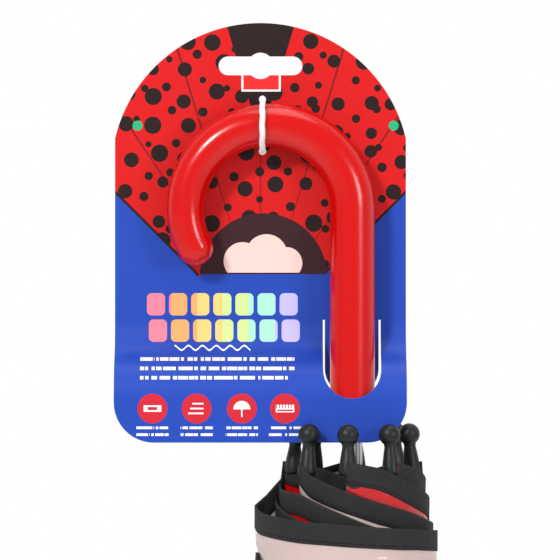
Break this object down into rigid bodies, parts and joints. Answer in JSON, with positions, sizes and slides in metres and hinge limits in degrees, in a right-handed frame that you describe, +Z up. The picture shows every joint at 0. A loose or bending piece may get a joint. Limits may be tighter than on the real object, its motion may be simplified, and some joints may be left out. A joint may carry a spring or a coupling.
{
  "type": "children's umbrella",
  "caption": "Closed manual stick umbrella for a child: crook handle, sliding runner, ball-tipped ribs, furled film canopy, and its hang card.",
  "frame": {"origin": "centre of the ferrule's end face, on the shaft axis", "axes": "+Z up the shaft towards the crook, which curls towards -X; rib 1 stands 5 degrees clockwise of +X; the hang card faces -Y"},
  "size_m": [0.165, 0.0926, 0.69],
  "materials": {
    "handle_plastic": "glossy moulded plastic",
    "shaft_steel": "nickel plated steel",
    "rib_steel": "black painted steel",
    "black_plastic": "smooth black moulding",
    "canopy_film": "printed glossy film",
    "strap_webbing": "woven tape",
    "name_patch": "blank white patch",
    "printed_card": "coated printed card",
    "white_cord": "twisted cord"
  },
  "bodies": {
    "root": {"shaft_tube": "shaft_steel", "handle_crook": "handle_plastic", "ferrule": "black_plastic", "canopy_cap": "black_plastic", "crown": "black_plastic", "crown_wire": "shaft_steel", "stop_pin": "shaft_steel", "hang_card": "printed_card", "card_cord": "white_cord"},
    "runner": {"runner": "black_plastic"},
    "lower_catch": {"lower_catch": "shaft_steel"},
    "upper_catch": {"upper_catch": "shaft_steel"},
    "rib_1": {"rib_1": "rib_steel", "rib_tip_1": "black_plastic"},
    "stretcher_1": {"stretcher_1": "rib_steel"},
    "gore_1_start": {"gore_1_start": "canopy_film", "tie_strap": "strap_webbing", "name_label": "name_patch", "strap_snap": "black_plastic"},
    "gore_1_end": {"gore_1_end": "canopy_film"},
    "rib_2": {"rib_2": "rib_steel", "rib_tip_2": "black_plastic"},
    "stretcher_2": {"stretcher_2": "rib_steel"},
    "gore_2_start": {"gore_2_start": "canopy_film"},
    "gore_2_end": {"gore_2_end": "canopy_film"},
    "rib_3": {"rib_3": "rib_steel", "rib_tip_3": "black_plastic"},
    "stretcher_3": {"stretcher_3": "rib_steel"},
    "gore_3_start": {"gore_3_start": "canopy_film"},
    "gore_3_end": {"gore_3_end": "canopy_film"},
    "rib_4": {"rib_4": "rib_steel", "rib_tip_4": "black_plastic"},
    "stretcher_4": {"stretcher_4": "rib_steel"},
    "gore_4_start": {"gore_4_start": "canopy_film"},
    "gore_4_end": {"gore_4_end": "canopy_film"},
    "rib_5": {"rib_5": "rib_steel", "rib_tip_5": "black_plastic"},
    "stretcher_5": {"stretcher_5": "rib_steel"},
    "gore_5_start": {"gore_5_start": "canopy_film"},
    "gore_5_end": {"gore_5_end": "canopy_film"},
    "rib_6": {"rib_6": "rib_steel", "rib_tip_6": "black_plastic"},
    "stretcher_6": {"stretcher_6": "rib_steel"},
    "gore_6_start": {"gore_6_start": "canopy_film"},
    "gore_6_end": {"gore_6_end": "canopy_film"},
    "rib_7": {"rib_7": "rib_steel", "rib_tip_7": "black_plastic"},
    "stretcher_7": {"stretcher_7": "rib_steel"},
    "gore_7_start": {"gore_7_start": "canopy_film"},
    "gore_7_end": {"gore_7_end": "canopy_film"},
    "rib_8": {"rib_8": "rib_steel", "rib_tip_8": "black_plastic"},
    "stretcher_8": {"stretcher_8": "rib_steel"},
    "gore_8_start": {"gore_8_start": "canopy_film"},
    "gore_8_end": {"gore_8_end": "canopy_film"}
  },
  "joints": [
    {"name": "runner_slide", "type": "slide", "parent": "root", "child": "runner", "axis": [0, 0, -1], "range_m": [0, 0.16043], "deforming": ["lower_catch", "upper_catch"]},
    {"name": "lower_catch_press", "type": "hinge", "parent": "root", "child": "lower_catch", "pos_m": [0.0005, 0, 0.4125], "axis": [0, -1, 0], "range_deg": [0, 9], "stiffness_Nm_per_rad": 0.15},
    {"name": "upper_catch_press", "type": "hinge", "parent": "root", "child": "upper_catch", "pos_m": [0.0005, 0, 0.3198], "axis": [0, 1, 0], "range_deg": [0, 9], "stiffness_Nm_per_rad": 0.15},
    {"name": "rib_1_swing", "type": "hinge", "parent": "root", "child": "rib_1", "pos_m": [0.00747, -0.00065, 0.036], "axis": [0.0872, 0.9962, 0], "range_deg": [0, 49.08]},
    {"name": "stretcher_1_swing", "type": "hinge", "parent": "rib_1", "child": "stretcher_1", "pos_m": [0.03335, -0.00292, 0.22867], "axis": [-0.0872, -0.9962, 0], "range_deg": [0, 93.46]},
    {"name": "gore_1_start_wrap", "type": "hinge", "parent": "rib_1", "child": "gore_1_start", "pos_m": [0.00675, -0.00084, 0.00059], "axis": [-0.0649, 0.1632, 0.9845], "range_deg": [0, 170.09], "deforming": ["gore_1_start", "tie_strap", "name_label", "strap_snap"]},
    {"name": "gore_1_end_wrap", "type": "hinge", "parent": "rib_2", "child": "gore_1_end", "pos_m": [0.00629, 0.00445, 0.001], "axis": [0.0371, 0.168, -0.9851], "range_deg": [0, 128.28], "deforming": ["gore_1_end"]},
    {"name": "rib_2_swing", "type": "hinge", "parent": "root", "child": "rib_2", "pos_m": [0.00575, 0.00482, 0.036], "axis": [-0.6428, 0.766, 0], "range_deg": [0, 49.08]},
    {"name": "stretcher_2_swing", "type": "hinge", "parent": "rib_2", "child": "stretcher_2", "pos_m": [0.02565, 0.02152, 0.22867], "axis": [0.6428, -0.766, 0], "range_deg": [0, 93.46]},
    {"name": "gore_2_start_wrap", "type": "hinge", "parent": "rib_2", "child": "gore_2_start", "pos_m": [0.00537, 0.00418, 0.00059], "axis": [-0.1613, 0.0695, 0.9845], "range_deg": [0, 170.09], "deforming": ["gore_2_start"]},
    {"name": "gore_2_end_wrap", "type": "hinge", "parent": "rib_3", "child": "gore_2_end", "pos_m": [0.0013, 0.00759, 0.001], "axis": [-0.0926, 0.1451, -0.9851], "range_deg": [0, 128.28], "deforming": ["gore_2_end"]},
    {"name": "rib_3_swing", "type": "hinge", "parent": "root", "child": "rib_3", "pos_m": [0.00065, 0.00747, 0.036], "axis": [-0.9962, 0.0872, 0], "range_deg": [0, 49.08]},
    {"name": "stretcher_3_swing", "type": "hinge", "parent": "rib_3", "child": "stretcher_3", "pos_m": [0.00292, 0.03335, 0.22867], "axis": [0.9962, -0.0872, 0], "range_deg": [0, 93.46]},
    {"name": "gore_3_start_wrap", "type": "hinge", "parent": "rib_3", "child": "gore_3_start", "pos_m": [0.00084, 0.00675, 0.00059], "axis": [-0.1632, -0.0649, 0.9845], "range_deg": [0, 170.09], "deforming": ["gore_3_start"]},
    {"name": "gore_3_end_wrap", "type": "hinge", "parent": "rib_4", "child": "gore_3_end", "pos_m": [-0.00445, 0.00629, 0.001], "axis": [-0.168, 0.0371, -0.9851], "range_deg": [0, 128.28], "deforming": ["gore_3_end"]},
    {"name": "rib_4_swing", "type": "hinge", "parent": "root", "child": "rib_4", "pos_m": [-0.00482, 0.00575, 0.036], "axis": [-0.766, -0.6428, 0], "range_deg": [0, 49.08]},
    {"name": "stretcher_4_swing", "type": "hinge", "parent": "rib_4", "child": "stretcher_4", "pos_m": [-0.02152, 0.02565, 0.22867], "axis": [0.766, 0.6428, 0], "range_deg": [0, 93.46]},
    {"name": "gore_4_start_wrap", "type": "hinge", "parent": "rib_4", "child": "gore_4_start", "pos_m": [-0.00418, 0.00537, 0.00059], "axis": [-0.0695, -0.1613, 0.9845], "range_deg": [0, 170.09], "deforming": ["gore_4_start"]},
    {"name": "gore_4_end_wrap", "type": "hinge", "parent": "rib_5", "child": "gore_4_end", "pos_m": [-0.00759, 0.0013, 0.001], "axis": [-0.1451, -0.0926, -0.9851], "range_deg": [0, 128.28], "deforming": ["gore_4_end"]},
    {"name": "rib_5_swing", "type": "hinge", "parent": "root", "child": "rib_5", "pos_m": [-0.00747, 0.00065, 0.036], "axis": [-0.0872, -0.9962, 0], "range_deg": [0, 49.08]},
    {"name": "stretcher_5_swing", "type": "hinge", "parent": "rib_5", "child": "stretcher_5", "pos_m": [-0.03335, 0.00292, 0.22867], "axis": [0.0872, 0.9962, 0], "range_deg": [0, 93.46]},
    {"name": "gore_5_start_wrap", "type": "hinge", "parent": "rib_5", "child": "gore_5_start", "pos_m": [-0.00675, 0.00084, 0.00059], "axis": [0.0649, -0.1632, 0.9845], "range_deg": [0, 170.09], "deforming": ["gore_5_start"]},
    {"name": "gore_5_end_wrap", "type": "hinge", "parent": "rib_6", "child": "gore_5_end", "pos_m": [-0.00629, -0.00445, 0.001], "axis": [-0.0371, -0.168, -0.9851], "range_deg": [0, 128.28], "deforming": ["gore_5_end"]},
    {"name": "rib_6_swing", "type": "hinge", "parent": "root", "child": "rib_6", "pos_m": [-0.00575, -0.00482, 0.036], "axis": [0.6428, -0.766, 0], "range_deg": [0, 49.08]},
    {"name": "stretcher_6_swing", "type": "hinge", "parent": "rib_6", "child": "stretcher_6", "pos_m": [-0.02565, -0.02152, 0.22867], "axis": [-0.6428, 0.766, 0], "range_deg": [0, 93.46]},
    {"name": "gore_6_start_wrap", "type": "hinge", "parent": "rib_6", "child": "gore_6_start", "pos_m": [-0.00537, -0.00418, 0.00059], "axis": [0.1613, -0.0695, 0.9845], "range_deg": [0, 170.09], "deforming": ["gore_6_start"]},
    {"name": "gore_6_end_wrap", "type": "hinge", "parent": "rib_7", "child": "gore_6_end", "pos_m": [-0.0013, -0.00759, 0.001], "axis": [0.0926, -0.1451, -0.9851], "range_deg": [0, 128.28], "deforming": ["gore_6_end"]},
    {"name": "rib_7_swing", "type": "hinge", "parent": "root", "child": "rib_7", "pos_m": [-0.00065, -0.00747, 0.036], "axis": [0.9962, -0.0872, 0], "range_deg": [0, 49.08]},
    {"name": "stretcher_7_swing", "type": "hinge", "parent": "rib_7", "child": "stretcher_7", "pos_m": [-0.00292, -0.03335, 0.22867], "axis": [-0.9962, 0.0872, 0], "range_deg": [0, 93.46]},
    {"name": "gore_7_start_wrap", "type": "hinge", "parent": "rib_7", "child": "gore_7_start", "pos_m": [-0.00084, -0.00675, 0.00059], "axis": [0.1632, 0.0649, 0.9845], "range_deg": [0, 170.09], "deforming": ["gore_7_start"]},
    {"name": "gore_7_end_wrap", "type": "hinge", "parent": "rib_8", "child": "gore_7_end", "pos_m": [0.00445, -0.00629, 0.001], "axis": [0.168, -0.0371, -0.9851], "range_deg": [0, 128.28], "deforming": ["gore_7_end"]},
    {"name": "rib_8_swing", "type": "hinge", "parent": "root", "child": "rib_8", "pos_m": [0.00482, -0.00575, 0.036], "axis": [0.766, 0.6428, 0], "range_deg": [0, 49.08]},
    {"name": "stretcher_8_swing", "type": "hinge", "parent": "rib_8", "child": "stretcher_8", "pos_m": [0.02152, -0.02565, 0.22867], "axis": [-0.766, -0.6428, 0], "range_deg": [0, 93.46]},
    {"name": "gore_8_start_wrap", "type": "hinge", "parent": "rib_8", "child": "gore_8_start", "pos_m": [0.00418, -0.00537, 0.00059], "axis": [0.0695, 0.1613, 0.9845], "range_deg": [0, 170.09], "deforming": ["gore_8_start"]},
    {"name": "gore_8_end_wrap", "type": "hinge", "parent": "rib_1", "child": "gore_8_end", "pos_m": [0.00759, -0.0013, 0.001], "axis": [0.1451, 0.0926, -0.9851], "range_deg": [0, 128.28], "deforming": ["gore_8_end"]}
  ],
  "couplings": [
    {"joint": "rib_1_swing", "follows": "runner_slide", "rad_per_m": 5.3364},
    {"joint": "stretcher_1_swing", "follows": "runner_slide", "rad_per_m": 10.162},
    {"joint": "gore_1_start_wrap", "follows": "runner_slide", "rad_per_m": 18.494},
    {"joint": "gore_1_end_wrap", "follows": "runner_slide", "rad_per_m": 13.949},
    {"joint": "rib_2_swing", "follows": "runner_slide", "rad_per_m": 5.3364},
    {"joint": "stretcher_2_swing", "follows": "runner_slide", "rad_per_m": 10.162},
    {"joint": "gore_2_start_wrap", "follows": "runner_slide", "rad_per_m": 18.494},
    {"joint": "gore_2_end_wrap", "follows": "runner_slide", "rad_per_m": 13.949},
    {"joint": "rib_3_swing", "follows": "runner_slide", "rad_per_m": 5.3364},
    {"joint": "stretcher_3_swing", "follows": "runner_slide", "rad_per_m": 10.162},
    {"joint": "gore_3_start_wrap", "follows": "runner_slide", "rad_per_m": 18.494},
    {"joint": "gore_3_end_wrap", "follows": "runner_slide", "rad_per_m": 13.949},
    {"joint": "rib_4_swing", "follows": "runner_slide", "rad_per_m": 5.3364},
    {"joint": "stretcher_4_swing", "follows": "runner_slide", "rad_per_m": 10.162},
    {"joint": "gore_4_start_wrap", "follows": "runner_slide", "rad_per_m": 18.494},
    {"joint": "gore_4_end_wrap", "follows": "runner_slide", "rad_per_m": 13.949},
    {"joint": "rib_5_swing", "follows": "runner_slide", "rad_per_m": 5.3364},
    {"joint": "stretcher_5_swing", "follows": "runner_slide", "rad_per_m": 10.162},
    {"joint": "gore_5_start_wrap", "follows": "runner_slide", "rad_per_m": 18.494},
    {"joint": "gore_5_end_wrap", "follows": "runner_slide", "rad_per_m": 13.949},
    {"joint": "rib_6_swing", "follows": "runner_slide", "rad_per_m": 5.3364},
    {"joint": "stretcher_6_swing", "follows": "runner_slide", "rad_per_m": 10.162},
    {"joint": "gore_6_start_wrap", "follows": "runner_slide", "rad_per_m": 18.494},
    {"joint": "gore_6_end_wrap", "follows": "runner_slide", "rad_per_m": 13.949},
    {"joint": "rib_7_swing", "follows": "runner_slide", "rad_per_m": 5.3364},
    {"joint": "stretcher_7_swing", "follows": "runner_slide", "rad_per_m": 10.162},
    {"joint": "gore_7_start_wrap", "follows": "runner_slide", "rad_per_m": 18.494},
    {"joint": "gore_7_end_wrap", "follows": "runner_slide", "rad_per_m": 13.949},
    {"joint": "rib_8_swing", "follows": "runner_slide", "rad_per_m": 5.3364},
    {"joint": "stretcher_8_swing", "follows": "runner_slide", "rad_per_m": 10.162},
    {"joint": "gore_8_start_wrap", "follows": "runner_slide", "rad_per_m": 18.494},
    {"joint": "gore_8_end_wrap", "follows": "runner_slide", "rad_per_m": 13.949}
  ]
}
